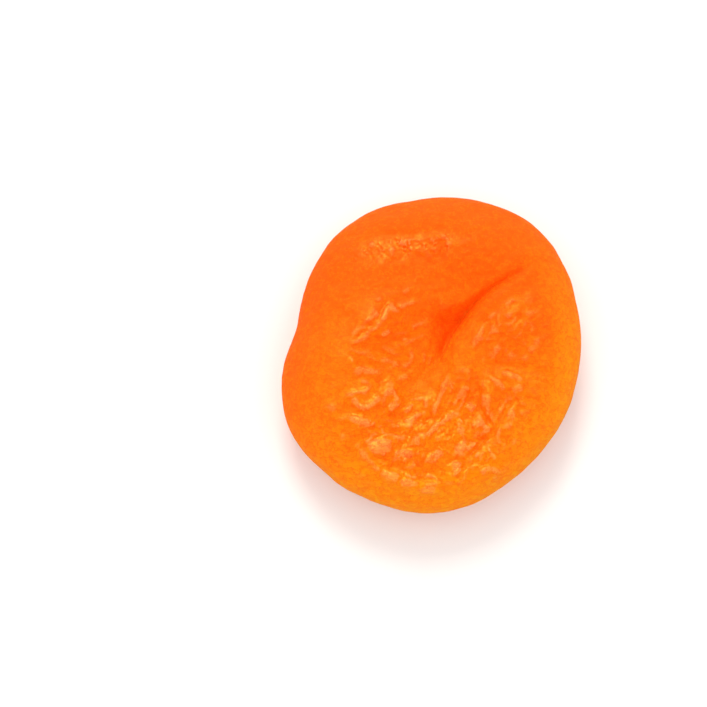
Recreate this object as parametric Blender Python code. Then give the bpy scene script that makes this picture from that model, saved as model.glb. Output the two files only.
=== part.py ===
"""Dried apricot: one whole, stoned fruit, pressed flat and dried until it is soft and leathery.

The fruit is one solid. It starts as a cube whose faces are cut into a net. The top and bottom
of the cube become the two pressed faces, and its sides become the thick rounded rim. Then the
upper face gets its bowl, its swells and its fold, where the stone was pushed out, and the whole
skin gets its wrinkles.

Units are metres. +Z is up, +Y is the long way of the fruit, and it rests on z = 0.
"""

import math

import bmesh
import bpy
from mathutils import Vector, noise

MM = 0.001

# Driving sizes
LENGTH = 40.6 * MM
UPPER_RISE = 6.7 * MM  # from the rim's widest line to the top, before the bowl
LOWER_DROP = 5.5 * MM  # from the rim's widest line to the underside, before its hollow
RIM_HEIGHT = 5.0 * MM  # of the rim's widest line
RIM_SWAY = 0.55 * MM  # how far the widest line wanders up and down
SWAY_PHASES = (0.6, -1.1)  # of its two waves and its three smaller ones, in radians
FACE_START = 0.05  # share of the rise where the pressed faces' relief begins
FACE_FULL = 0.55  # and where it has its full height

# The outline's reach from the middle at every 30 degrees, from +X towards +Y
OUTLINE = [
    r * MM for r in (19.2, 20.4, 21.1, 20.1, 19.6, 17.8, 18.0, 20.1, 20.0, 20.3, 19.2, 18.9)
]
OUTLINE_DENT = 0.42 * MM
OUTLINE_DENT_AT = math.radians(171)
OUTLINE_DENT_SPREAD = math.radians(9)

# The net of faces. Its rows run along the fold, and they are drawn together there
FACE_CELLS = 48
RIM_ROWS = 7
EDGE_TURN = math.radians(52)  # where the pressed faces end and the rim's rows begin
MIDDLE_CLOSENESS = 0.86  # spacing in the middle of a face, as a share of an even one
CUSHION_POWER = 2.7  # 2 is an ellipse, and more is boxier
GATHER = 0.60
GATHER_REACH = 3.2 * MM
BEND_REACH = 9.0 * MM

# The bowl of the upper face: its middle, its reach along X and Y, and its depth
BOWL_MIDDLE = (1.9 * MM, -1.4 * MM)
BOWL_REACH = (12.8 * MM, 15.6 * MM)
BOWL_DEPTH = 2.3 * MM
BOWL_FLOOR = 0.25  # share of the reach where the slope starts
BOWL_BRIM = 1.05  # share of the reach where it ends

# The hollow of the underside, the ring round it, which sags in three places, and the level
# at which the sagging places are flat from lying on a tray
UNDER_REACH = (11.0 * MM, 13.0 * MM)
UNDER_DEPTH = 1.9 * MM
SAG_COUNT = 3
SAG_ANGLE = math.radians(50)
SAG_PLACE = 0.57  # share of the way out to the outline
SAG_SPREAD = 0.21
SAG_DROP = 1.05 * MM
TRAY_LEVEL = -0.62 * MM
TRAY_FADE = 0.7 * MM  # how far above the tray the skin has all its wrinkles

# The fold, where the stone came out. It runs outwards from the middle at this angle. Each row
# is a station on it, 2 mm from the next, from the valley below the hollow to the outer end:
# its bend to the left, the hollow's width, the depth, and the rise of the lip on its right
FOLD_ANGLE = math.radians(40)
FOLD_START = -10.0 * MM
FOLD_STATION = 2.0 * MM
FOLD = [
    tuple(v * MM for v in row)
    for row in (
        (-2.6, 0.10, 0.00, 0.00),
        (-2.3, 0.10, 0.00, 0.00),
        (-2.0, 0.20, 0.00, 0.00),
        (-1.7, 0.40, 0.00, 0.00),
        (-1.7, 0.90, 0.20, 0.10),
        (-1.6, 1.50, 0.85, 0.35),
        (-1.0, 2.10, 1.90, 0.70),
        (-0.05, 2.50, 2.60, 0.90),
        (0.60, 1.20, 2.40, 0.95),
        (1.12, 0.22, 1.70, 0.85),
        (1.24, 0.12, 1.30, 0.70),
        (1.05, 0.12, 1.00, 0.50),
        (0.45, 0.12, 0.70, 0.30),
        (-0.10, 0.10, 0.20, 0.10),
        (-0.50, 0.10, 0.00, 0.00),
    )
]
LOBE_ROLL = 1.30 * MM  # how broadly each side rolls over into the fold
LEDGE_ROLL = 0.70 * MM
LEDGE_SLOPE = 0.90 * MM  # how broadly the hollow's left side rises
FLOOR_SLOPE = 0.45  # how much shallower the hollow is on the left, as a share of its depth
LIP_WIDTH = 1.9 * MM
LEDGE_WIDTH = 1.1 * MM
LEDGE_SHARE = 0.35  # the left side's rise, as a share of the lip's
OVERHANG_SHARE = 0.22  # of the hollow's width
OVERHANG_AT = 0.55 * MM
OVERHANG_WIDTH = 0.45 * MM

# Swells and dips of the upper face: x, y, half length, half width, turn in degrees, and rise
UPPER_SWELLS = [
    (10.4, 3.2, 4.6, 3.2, 35, 1.00),  # lobe beside the fold
    (-5.4, 3.0, 5.4, 3.0, 52, 0.85),  # west swell
    (0.2, 7.8, 2.4, 2.2, 10, 0.50),  # knoll above the hollow
    (7.3, 12.4, 5.0, 2.4, -30, 0.45),  # north-east swell
    (7.5, -6.0, 3.0, 1.7, 80, 0.85),  # round knob
    (3.4, -4.4, 2.8, 2.6, 0, 0.70),  # south swell, its broad head
    (-0.4, -9.4, 3.4, 1.6, 60, 0.45),  # and its tail
    (-6.9, -5.0, 3.2, 2.2, 10, 0.30),  # south-west swell
    (-13.4, 0.0, 6.0, 2.8, 85, 0.40),  # broad west brim
    (-2.0, 15.4, 7.0, 2.4, 5, 0.25),  # north brim
    (10.2, -1.8, 4.6, 1.3, -18, -0.45),  # valley between lobe and knob
    (-1.4, -3.2, 3.6, 1.4, 55, -0.60),  # valley below the hollow
    (-2.6, -8.4, 3.2, 1.0, 3, -0.50),  # south-west valley
    (-4.5, 11.4, 6.0, 1.5, 12, -0.35),  # dip under the north-west brim
    (3.0, -13.2, 2.0, 1.6, 60, -0.30),  # dip above the south step
]

# Long wrinkles of the upper face: the points each runs through, its half width and its rise
UPPER_STROKES = [
    (((-4.6, 7.8), (-6.9, 6.4), (-8.6, 3.9), (-10.2, 1.0), (-9.7, -2.0)), 0.80, 0.42),
    (((-9.0, 1.0), (-6.6, 3.2), (-4.9, 6.0), (-2.6, 6.6)), 0.75, -0.30),
    (((-7.6, 1.4), (-5.2, 3.6), (-3.4, 5.6)), 0.75, 0.34),
    (((-9.2, 0.2), (-6.4, 0.4), (-3.6, 1.6)), 0.75, -0.30),
    (((-9.2, -2.4), (-6.4, -2.6), (-4.4, -1.8)), 0.75, -0.32),
    (((-10.0, -6.2), (-8.4, -7.4), (-6.6, -5.8), (-5.4, -4.2)), 0.75, 0.48),
    (((-5.6, -4.2), (-4.0, -5.6), (-4.9, -7.4)), 0.75, 0.42),
    (((-11.0, -8.4), (-9.0, -9.2), (-6.8, -8.8)), 0.75, 0.40),
    (((-8.4, -11.6), (-6.4, -12.2), (-4.6, -12.0)), 0.80, 0.45),
    (((-8.2, -12.6), (-6.2, -15.1), (-3.4, -16.6), (-0.2, -17.3), (2.2, -16.2)), 0.75, 0.42),
    (((-6.8, -12.9), (-3.6, -15.2), (-0.2, -15.8), (2.2, -14.6)), 0.75, -0.34),
    (((5.4, -15.6), (7.4, -15.0)), 0.90, 0.40),
    (((5.6, -2.6), (5.2, -5.4), (6.8, -9.1), (5.6, -11.8), (2.6, -13.8)), 0.75, -0.55),
    (((6.8, -9.1), (9.0, -6.8), (10.0, -5.2)), 0.75, -0.40),
    (((8.6, -2.9), (10.8, -3.9), (11.2, -5.6)), 0.75, 0.42),
    (((0.8, -3.4), (3.4, -2.3), (6.2, -2.8)), 0.75, 0.24),
    (((-1.0, -6.2), (0.8, -8.6), (0.6, -12.0)), 0.75, -0.30),
    (((-10.2, 11.2), (-6.5, 13.2), (-2.6, 13.5), (1.8, 12.8)), 0.80, -0.32),
    (((-1.9, 8.2), (-0.4, 10.0), (1.8, 9.6), (2.5, 7.6)), 0.75, -0.22),
    (((11.0, 6.6), (8.4, 5.0), (6.4, 2.4), (6.0, -0.4)), 0.75, -0.30),
]

STROKE_FADE = 0.25  # share of a long wrinkle over which each end fades
STROKE_END = 0.25  # its height at the very end, as a share of its full height

# Swells and wrinkles of the underside, which lies on the table
LOWER_SWELLS = [
    (-3.5, 1.0, 5.5, 2.6, 70, 0.50),
    (4.5, -2.0, 4.8, 2.4, -55, 0.45),
    (3.0, 7.0, 3.5, 2.0, 20, 0.35),
]
LOWER_STROKES = [
    (((-1.6, 15.5), (-0.6, 9.0), (0.8, 2.0), (0.4, -6.0), (-1.4, -14.5)), 0.80, -0.50),  # suture
    (((-9.0, 6.5), (-5.5, 3.6), (-2.0, 3.4)), 0.75, -0.40),
    (((8.6, 7.0), (5.2, 4.4), (2.6, 4.6)), 0.75, -0.38),
    (((-8.0, -6.0), (-4.8, -3.8), (-1.6, -4.2)), 0.75, -0.38),
    (((9.0, -6.4), (5.6, -5.8), (2.4, -3.0)), 0.75, -0.40),
    (((-6.5, 9.8), (-3.6, 8.4)), 0.80, 0.35),
    (((5.0, -10.2), (8.0, -8.0)), 0.80, 0.32),
]

# Wrinkles all over: wavelength and height on the pressed faces and on the rim
WRINKLED_FROM = (0.75, 0.97)  # how level the skin is where they start, and where they're full
FACE_WRINKLE_LENGTH = 2.6 * MM
FACE_WRINKLE_HEIGHT = 0.30 * MM
RIDGE_STEEPNESS = 2.6
RIDGE_ROUNDNESS = 0.12
RELAXING = 0.5
RIM_DIMPLE_LENGTH = 6.0 * MM
RIM_DIMPLE_HEIGHT = 0.22 * MM
WARP_LENGTH = 5.0 * MM
WARP_REACH = 1.6 * MM
DIMPLE_PLACE = Vector((3.1, 5.7, 1.3))
NOISE = "PERLIN_NEW"

COLOUR = (1.0, 0.36, 0.02, 1.0)
ROUGHNESS = 0.42


def smooth_step(low, high, value):
    """0 below low, 1 above high, and a smooth rise between them."""
    share = min(max((value - low) / (high - low), 0.0), 1.0)
    return share * share * (3 - 2 * share)


def hill(distance, width):
    return math.exp(-((distance / width) ** 2))


def spline(stations, place):
    """The Catmull-Rom curve through rows of numbers, at a place counted in stations."""
    first = math.floor(place)
    t = place - first
    weights = (
        (-(t**3) + 2 * t**2 - t) / 2,
        (3 * t**3 - 5 * t**2 + 2) / 2,
        (-3 * t**3 + 4 * t**2 + t) / 2,
        (t**3 - t**2) / 2,
    )
    last = len(stations) - 1
    rows = [stations[min(max(i, 0), last)] for i in range(first - 1, first + 3)]
    return [sum(w * v for w, v in zip(weights, column)) for column in zip(*rows)]


def outline_radius(angle):
    """The smooth closed curve through the outline's stations, with its dent on the left."""
    count = len(OUTLINE)
    radius = 0.0
    for i, reach in enumerate(OUTLINE):
        away = math.remainder(angle - math.tau * i / count, math.tau)
        share = 1.0
        if abs(away) > 1e-6:
            share = math.sin(count * away / 2) / (count * math.tan(away / 2))
        radius += reach * share
    return radius - OUTLINE_DENT * hill(
        math.remainder(angle - OUTLINE_DENT_AT, math.tau), OUTLINE_DENT_SPREAD
    )


def around_and_over(net_point):
    """The net's point as an angle about Z and a turn, from 0 at the top's middle to pi below."""
    x, y, z = net_point
    side = max(abs(x), abs(y))
    if side < 1e-9:
        angle = 0.0
    elif abs(x) >= abs(y):
        angle = math.pi / 4 * y / x + (math.pi if x < 0 else 0.0)
    else:
        angle = math.pi / 2 - math.pi / 4 * x / y + (math.pi if y < 0 else 0.0)
    angle += FOLD_ANGLE
    if side < 1 - 1e-6:
        spread = MIDDLE_CLOSENESS * side + (1 - MIDDLE_CLOSENESS) * side**3
        turn = spread * EDGE_TURN
        return angle, turn if z > 0 else math.pi - turn
    return angle, EDGE_TURN + (1 - z) / 2 * (math.pi - 2 * EDGE_TURN)


def cushion(turn):
    """How far out and how far up a cushion's section reaches at this turn, each at most 1."""
    out, up = math.sin(turn), math.cos(turn)
    size = (abs(out) ** CUSHION_POWER + abs(up) ** CUSHION_POWER) ** (1 / CUSHION_POWER)
    return out / size, up / size


def bowl(x, y, middle, reach):
    """1 on the bowl's floor, falling to 0 at its brim."""
    share = math.hypot((x - middle[0]) / reach[0], (y - middle[1]) / reach[1])
    return 1 - smooth_step(BOWL_FLOOR, BOWL_BRIM, share)


def swells(x, y, rows):
    total = 0.0
    for middle_x, middle_y, length, width, turn, rise in rows:
        dx, dy = x - middle_x * MM, y - middle_y * MM
        cos, sin = math.cos(math.radians(turn)), math.sin(math.radians(turn))
        along, across = dx * cos + dy * sin, dy * cos - dx * sin
        total += rise * MM * hill(along, length * MM) * hill(across, width * MM)
    return total


def stroke_distance(x, y, points):
    """How far (x, y) is from a run of straight pieces, and the share of the run it is beside."""
    best, share = math.inf, 0.0
    pieces = len(points) - 1
    for i, ((ax, ay), (bx, by)) in enumerate(zip(points, points[1:])):
        ax, ay, bx, by = ax * MM, ay * MM, bx * MM, by * MM
        length_squared = (bx - ax) ** 2 + (by - ay) ** 2
        t = ((x - ax) * (bx - ax) + (y - ay) * (by - ay)) / length_squared
        t = min(max(t, 0.0), 1.0)
        away = math.hypot(x - ax - t * (bx - ax), y - ay - t * (by - ay))
        if away < best:
            best, share = away, (i + t) / pieces
    return best, share


def strokes(x, y, rows):
    """The long wrinkles' height, each fading out at its two ends."""
    total = 0.0
    for points, width, rise in rows:
        away, share = stroke_distance(x, y, points)
        fade = smooth_step(0.0, STROKE_FADE, share) * smooth_step(0.0, STROKE_FADE, 1 - share)
        strength = STROKE_END + (1 - STROKE_END) * fade
        total += rise * MM * strength * hill(away, width * MM)
    return total


def along_fold(x, y):
    """How far (x, y) lies along the fold's angle, and how far to the left of it."""
    cos, sin = math.cos(FOLD_ANGLE), math.sin(FOLD_ANGLE)
    return x * cos + y * sin, y * cos - x * sin


def fold_station(along):
    """(bend, width, depth, lip) of the fold this far along it."""
    return spline(FOLD, max((along - FOLD_START) / FOLD_STATION, 0.0))


def drawn_to_fold(x, y, share):
    """The net's point with its row bent to the fold's line, and the rows drawn together there."""
    along, left = along_fold(x, y)
    bend = fold_station(along)[0]
    left *= 1 - GATHER * hill(left, GATHER_REACH) * share
    left += bend * hill(left, BEND_REACH) * share
    cos, sin = math.cos(FOLD_ANGLE), math.sin(FOLD_ANGLE)
    return along * cos - left * sin, along * sin + left * cos


def beside_fold(x, y):
    along, left = along_fold(x, y)
    bend, _, depth, _ = fold_station(along)
    return depth > 0 and -LOBE_ROLL < left - bend < LEDGE_ROLL


def rolled(share):
    """1 at the bottom of the fold, falling steeply and then gently to 0 where the roll ends."""
    return 1 - math.sqrt(1 - (1 - min(share, 1.0)) ** 2)


def fold(x, y):
    """(shift to the left, rise) that the fold gives the upper face at (x, y)."""
    along, left = along_fold(x, y)
    bend, width, depth, lip = fold_station(along)
    slope = (fold_station(along + FOLD_STATION / 4)[0] - bend) / (FOLD_STATION / 4)
    left = (left - bend) / math.hypot(1, slope)
    if left < 0:
        crest = -left / LIP_WIDTH
        rise = lip * crest * math.exp(1 - crest) - depth * rolled(-left / LOBE_ROLL)
        lean = OVERHANG_SHARE * width * hill(-left - OVERHANG_AT, OVERHANG_WIDTH)
        return lean, rise
    if left < width:
        return 0.0, -depth * (1 - FLOOR_SLOPE * left / width)
    crest = (left - width) / LEDGE_WIDTH
    rise = LEDGE_SHARE * lip * crest * math.exp(1 - crest)
    openness = smooth_step(LEDGE_ROLL / 2, LEDGE_SLOPE, width)
    sharp = rolled((left - width) / LEDGE_ROLL)
    soft = max(1 - (left - width) / LEDGE_SLOPE, 0.0) ** 2
    floor = depth * (1 - FLOOR_SLOPE)
    return 0.0, rise - floor * (sharp + (soft - sharp) * openness)


def sag(out, angle):
    """How far the ring of the underside sags, this share of the way out and at this angle."""
    ring = hill(out - SAG_PLACE, SAG_SPREAD)
    return SAG_DROP * ring * (1 + math.cos(SAG_COUNT * (angle - SAG_ANGLE))) / 2


def form(net_point):
    """The net's point moved to the fruit's main form."""
    angle, turn = around_and_over(net_point)
    out, up = cushion(turn)
    radius = outline_radius(angle)
    x, y = out * radius * math.cos(angle), out * radius * math.sin(angle)
    sway = math.sin(2 * angle + SWAY_PHASES[0]) + math.sin(3 * angle + SWAY_PHASES[1]) / 2
    sway *= RIM_SWAY * out
    on_face = smooth_step(FACE_START, FACE_FULL, abs(up))
    if up > 0:
        z = RIM_HEIGHT + sway + up * UPPER_RISE
        x, y = drawn_to_fold(x, y, on_face)
        z -= BOWL_DEPTH * bowl(x, y, BOWL_MIDDLE, BOWL_REACH) * on_face
        z += (swells(x, y, UPPER_SWELLS) + strokes(x, y, UPPER_STROKES)) * on_face
        lean, rise = fold(x, y)
        x -= lean * math.sin(FOLD_ANGLE) * on_face
        y += lean * math.cos(FOLD_ANGLE) * on_face
        return Vector((x, y, z + rise * on_face))
    z = RIM_HEIGHT + sway * (1 - on_face) + up * LOWER_DROP
    z += UNDER_DEPTH * bowl(x, y, (0.0, 0.0), UNDER_REACH) * on_face
    z -= (swells(x, y, LOWER_SWELLS) + strokes(x, y, LOWER_STROKES)) * on_face
    return Vector((x, y, max(z - sag(out, angle) * on_face, TRAY_LEVEL)))


def wrinkle(point, normal):
    """The height of the fine wrinkles at a point of the skin, along its normal."""
    flatness = smooth_step(*WRINKLED_FROM, abs(normal.z))
    warp = noise.noise_vector(point / WARP_LENGTH, noise_basis=NOISE)
    warp *= WARP_REACH / FACE_WRINKLE_LENGTH
    swell = noise.noise(point / FACE_WRINKLE_LENGTH + warp, noise_basis=NOISE)
    ridges = 1 - RIDGE_STEEPNESS * math.hypot(swell, RIDGE_ROUNDNESS)
    dimples = noise.noise(point / RIM_DIMPLE_LENGTH + DIMPLE_PLACE, noise_basis=NOISE)
    height = FACE_WRINKLE_HEIGHT * ridges * flatness + RIM_DIMPLE_HEIGHT * dimples
    return height * smooth_step(TRAY_LEVEL, TRAY_LEVEL + TRAY_FADE, point.z)


def cube_net():
    """A cube from -1 to 1, its top and bottom cut into cells and its sides into rows."""
    net = bmesh.new()
    bmesh.ops.create_cube(net, size=2)
    level = [e for e in net.edges if abs(e.verts[0].co.z - e.verts[1].co.z) < 1]
    bmesh.ops.subdivide_edges(net, edges=level, cuts=FACE_CELLS - 1, use_grid_fill=True)
    upright = [e for e in net.edges if abs(e.verts[0].co.z - e.verts[1].co.z) > 1]
    bmesh.ops.subdivide_edges(net, edges=upright, cuts=RIM_ROWS - 1, use_grid_fill=True)
    return net


def relax(net):
    """Evens out the skin of the upper face between its wrinkles, but not beside the fold."""
    skin = [v for v in net.verts if v.co.z > RIM_HEIGHT and not beside_fold(v.co.x, v.co.y)]
    bmesh.ops.smooth_vert(
        net, verts=skin, factor=RELAXING, use_axis_x=True, use_axis_y=True, use_axis_z=True
    )


def set_down(net):
    """Centres the fruit over the origin, gives it its length and sets it down on z = 0."""
    xs, ys, zs = zip(*(v.co for v in net.verts))
    middle = Vector(((min(xs) + max(xs)) / 2, (min(ys) + max(ys)) / 2, min(zs)))
    size = LENGTH / (max(ys) - min(ys))
    for vertex in net.verts:
        vertex.co = (vertex.co - middle) * size


def apricot_mesh():
    net = cube_net()
    for vertex in net.verts:
        vertex.co = form(vertex.co)
    net.normal_update()
    heights = [wrinkle(v.co, v.normal) for v in net.verts]
    for vertex, height in zip(net.verts, heights):
        vertex.co += vertex.normal * height
    relax(net)
    set_down(net)
    bmesh.ops.triangulate(net, faces=net.faces)
    bmesh.ops.recalc_face_normals(net, faces=net.faces)
    mesh = bpy.data.meshes.new("dried_apricot")
    net.to_mesh(mesh)
    net.free()
    mesh.shade_smooth()
    return mesh


def apricot_material():
    material = bpy.data.materials.new("dried_apricot_skin")
    material.use_nodes = True
    shader = material.node_tree.nodes["Principled BSDF"]
    shader.inputs["Base Color"].default_value = COLOUR
    shader.inputs["Roughness"].default_value = ROUGHNESS
    shader.inputs["Metallic"].default_value = 0.0
    return material


def clear_scene():
    for thing in list(bpy.data.objects):
        bpy.data.objects.remove(thing)


def main():
    clear_scene()
    mesh = apricot_mesh()
    mesh.materials.append(apricot_material())
    fruit = bpy.data.objects.new("dried_apricot", mesh)
    bpy.context.scene.collection.objects.link(fruit)


main()
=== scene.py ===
"""The looks of a dried apricot: its finely wrinkled skin, its colour, and the studio round it.

The solid fruit is cut finer, and its skin gets the wrinkles that are too fine for the solid. They
are drawn on two plan maps, one for each pressed face, and pushed out along the skin. What the
maps know about each spot also goes into two attributes, tone and moist, which the material reads.

Units are metres, apart from the lists of spots and lines, which are in millimetres and degrees.
The fruit rests on z = 0, and +Z comes out of the face with the fold.
"""

import math

import bmesh
import bpy
import numpy as np
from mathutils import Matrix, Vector, noise


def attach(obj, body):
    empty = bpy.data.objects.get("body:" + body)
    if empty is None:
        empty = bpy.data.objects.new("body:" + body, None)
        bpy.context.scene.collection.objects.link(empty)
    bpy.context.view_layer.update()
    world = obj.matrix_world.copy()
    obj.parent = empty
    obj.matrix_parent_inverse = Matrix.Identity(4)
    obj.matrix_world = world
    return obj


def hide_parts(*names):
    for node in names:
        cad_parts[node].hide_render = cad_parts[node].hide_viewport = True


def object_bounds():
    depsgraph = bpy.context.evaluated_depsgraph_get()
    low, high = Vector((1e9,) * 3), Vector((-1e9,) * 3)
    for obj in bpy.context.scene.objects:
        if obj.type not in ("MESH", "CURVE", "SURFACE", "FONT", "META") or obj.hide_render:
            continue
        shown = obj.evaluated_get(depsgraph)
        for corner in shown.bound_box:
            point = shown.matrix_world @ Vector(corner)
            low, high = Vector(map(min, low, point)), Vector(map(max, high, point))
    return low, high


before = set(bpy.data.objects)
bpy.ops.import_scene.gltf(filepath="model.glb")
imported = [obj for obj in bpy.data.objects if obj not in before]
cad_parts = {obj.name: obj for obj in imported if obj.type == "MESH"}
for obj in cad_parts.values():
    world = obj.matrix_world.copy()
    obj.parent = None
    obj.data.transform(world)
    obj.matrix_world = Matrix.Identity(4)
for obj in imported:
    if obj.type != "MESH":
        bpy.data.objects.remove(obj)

cad_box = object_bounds()

MM = 0.001
NODE = "dried_apricot"

# The finer mesh
CUTS = 2  # each cuts every edge in two
WELD = 0.0005 * MM
JOIN_ANGLE = math.radians(70)
SOFTENING_ROUNDS = 90
FACE_SLIDE = 0.75 * MM  # how far the face's features lie nearer the camera than in the solid
SLIDE_RIM = (0.70, 1.0)  # share of the way out over which they come to rest
SLIDE_NORTH = (8 * MM, 13 * MM)  # and up the face
SLIDE_HEIGHT = (0.15, 0.40)  # share of the height over which they start
HOLLOW_REACH = (0.4, 0.6)  # share of the way out where the steep walls round the hollow end
HOLLOW_HEIGHT = 0.35  # share of the height that they're above

# The plan maps
MAP_CELL = 0.09 * MM
MAP_CELLS = 496
FILTER_BANK = 8
LONG_SPREAD, SHORT_SPREAD = 0.30, 0.75  # how far the crests stray from their run, in radians
UPPER_SEED, STRAY_SEED, GRAIN_SEED, PATCH_SEED, LOWER_SEED = 11, 71, 81, 82, 91
SHORT_SEEDS = 20  # from the long waves' seeds to the short waves'

# Where the wrinkles of the upper face run: x, y, and the angle of their ridges in degrees
UPPER_RUNS = [
    (-8.0, 4.5, 52), (-5.0, 7.0, 40), (-7.5, 0.8, 8), (-7.0, -2.4, -8), (-8.0, -6.5, 20),
    (-4.5, -5.0, 60), (-5.0, -9.0, 10), (-1.5, -8.5, 55), (0.0, -13.0, 20), (2.5, -6.0, 70),
    (4.5, -10.0, 62), (7.5, -6.0, 75), (10.5, -5.0, -50), (8.0, -11.0, 50), (7.5, 4.5, 58),
    (10.5, 6.5, 40), (12.5, 1.5, 65), (12.0, -2.5, -15), (6.5, 12.5, 25), (-2.0, 12.0, 8),
    (0.5, 8.0, 75), (-9.5, 10.0, 45), (-13.0, -3.0, 85), (0.0, -17.0, 0), (15.5, 3.0, 88),
]
RUN_REACH = 2.6 * MM
STRAY = 0.45  # radians that the runs wander
STRAY_LENGTH = 4.5 * MM
STRAY_MIX = 0.6

WRINKLES = [  # wavelength, how mixed the wavelengths are, height of the waves, and of the net
    (3.20 * MM, 0.35, 0.085 * MM, 0.115 * MM),
    (2.00 * MM, 0.35, 0.055 * MM, 0.080 * MM),
    (1.25 * MM, 0.35, 0.055 * MM, 0.0),
    (0.72 * MM, 0.35, 0.034 * MM, 0.0),
]
NET_WIDTH = 0.5  # share of a wave
WAVE_LIMIT = 2.2  # times a wave's usual height

# How deep the fine wrinkles are: x, y, half length, half width, turn in degrees, and depth. The
# lists of spots after this one are written in the same way, with a share as their last value
UPPER_DEPTHS = [
    (-5.2, 3.0, 6.2, 4.2, 48, 0.38),  # west swell
    (-5.6, -2.4, 4.8, 3.0, 0, 0.45),  # below it
    (-6.6, -8.2, 5.0, 4.2, -15, 0.46),  # south-west
    (-0.8, -9.2, 4.2, 4.6, 0, 0.75),  # middle of the south
    (-1.6, -14.4, 6.6, 2.8, -4, 0.75),  # south
    (3.3, -6.6, 3.2, 5.0, 0, 0.80),  # south swell
    (8.4, -6.4, 3.8, 4.6, 0, 0.60),  # knob
    (5.8, -12.8, 4.6, 3.0, 40, 0.60),  # south-east
    (9.4, 2.6, 4.8, 4.4, 0, 0.75),  # lobe
    (13.4, -1.0, 2.6, 5.4, 0, 0.40),
    (-6.8, 9.6, 5.4, 2.6, 35, 0.38),  # north-west
    (5.6, 12.0, 7.0, 4.0, -20, 0.34),  # north-east swell
    (0.6, 8.4, 4.2, 4.2, 0, 0.42),  # knoll
]
DEPTH_EVERYWHERE = 0.18
SPOT_FALL = 1.4  # more carries a spot further out

# Where they are long and straight instead of short and knobbly
LONG_WRINKLES = [
    (-6.4, 3.2, 5.4, 3.8, 50, 1.0),
    (-6.5, -1.5, 4.0, 2.6, 0, 0.9),
    (-2.0, -16.0, 6.0, 1.6, 0, 0.8),
]
# Where the net is of creases instead of ridges
CREASED = [
    (-6.6, -8.6, 5.0, 4.6, -15, 0.8),
    (-1.6, -12.0, 7.0, 5.6, 0, 1.0),
    (5.8, -12.8, 4.6, 3.4, 40, 1.0),
    (3.3, -6.6, 3.2, 5.0, 0, 1.0),
    (8.4, -6.4, 3.8, 4.6, 0, 1.0),
    (9.4, 2.6, 4.8, 4.4, 0, 0.7),
    (0.6, 8.4, 4.2, 4.2, 0, 0.6),
]
# Where the skin is gathered into grains
GRAINS = [
    (-8.9, 11.5, 1.6, 1.1, 40, 0.8),
    (-6.4, 12.8, 2.2, 1.0, 20, 0.7),
    (-3.6, 13.0, 2.4, 1.1, 0, 1.0),
    (-0.4, 12.8, 1.8, 0.8, 0, 0.5),
    (1.5, 13.1, 1.4, 1.5, 0, 0.8),
    (-3.0, -12.8, 3.4, 2.2, 0, 0.5),
    (-7.0, -9.6, 3.0, 2.6, 0, 0.35),
    (3.6, -8.0, 3.0, 5.0, 0, 0.40),
    (8.6, 2.6, 3.6, 3.0, 40, 0.25),
]
GRAIN_LENGTH = 0.52 * MM
GRAIN_MIX = 0.4
GRAIN_HEIGHT = 0.13 * MM
GRAIN_PATCH = 1.8 * MM
GRAIN_PATCH_MIX = 0.5
GRAIN_PATCH_LEVELS = (-0.5, 1.2)  # of the patches' waves, where the grains start and are full

# Where the skin is moist and shines; elsewhere it is dry
MOIST = [
    (-6.0, -9.0, 7.5, 6.4, -30, 1.0),  # south-west
    (2.5, -10.5, 8.0, 7.4, 0, 1.0),  # south
    (8.6, -6.0, 4.6, 5.0, 0, 0.8),  # knob
    (9.0, 2.6, 5.2, 4.6, 40, 0.7),  # lobe
    (-6.0, 1.6, 6.8, 4.8, 50, 0.9),  # west swell
    (-3.4, 12.7, 7.4, 1.9, 4, 0.85),  # under the north-west brim
    (6.8, -15.0, 2.8, 2.4, 0, 1.0),  # by the south-east rim
    (-3.0, -15.8, 6.6, 2.4, -10, 1.0),  # inside the south rim
]
# Painted highlights: patches where the moist skin is painted pale and cracked, as the sheen of light on it
PAINTED_HIGHLIGHT_PATCHES = [
    (-9.3, -2.6, 0.7, 0.6, 0, 0.8),
    (-5.5, -5.1, 0.8, 0.6, 40, 0.8),
    (-9.1, -7.0, 1.1, 0.4, -35, 0.9),
    (-5.1, -6.8, 0.6, 0.5, 40, 0.8),
    (-12.5, -7.1, 0.6, 0.5, 0, 0.8),
    (-9.3, -8.8, 1.4, 0.6, -20, 0.9),
    (-6.6, -11.9, 1.7, 1.0, -10, 1.0),
    (-3.4, -12.8, 1.2, 0.7, -15, 0.9),
    (-5.1, -16.0, 1.0, 0.4, -25, 0.9),
    (-3.0, -16.7, 1.3, 0.6, -10, 1.0),
    (-0.5, -17.5, 1.0, 0.5, 0, 1.0),
    (2.8, -14.4, 0.6, 1.2, 10, 0.8),
    (3.4, -11.8, 1.3, 0.6, 50, 0.9),
    (0.7, -12.7, 0.9, 0.6, 0, 0.8),
    (2.0, -8.1, 0.6, 0.6, 0, 0.8),
    (3.6, -9.8, 0.5, 0.8, 0, 0.8),
    (4.8, -6.8, 0.5, 0.9, 15, 0.8),
    (1.8, -3.9, 0.9, 0.7, 40, 0.7),
    (5.6, -8.9, 0.9, 0.5, -10, 0.8),
]
# Where the skin lies smoother than in the solid
SOFTENED = [
    (-8.2, 9.6, 5.0, 3.4, 38, 1.0),
    (3.0, 14.6, 8.0, 3.0, -12, 1.0),
    (-13.4, 2.5, 2.6, 7.0, 0, 0.9),
    (1.0, 8.6, 3.6, 3.2, 0, 0.6),
    (8.9, 8.9, 4.4, 1.3, 32, 0.55),
    (0.9, -0.8, 1.8, 2.0, 0, 0.8),
    (4.3, 4.6, 2.6, 1.4, 50, 0.9),
]

STRONG, MIDDLING, FAINT = 0.29, 0.19, 0.10
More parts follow.
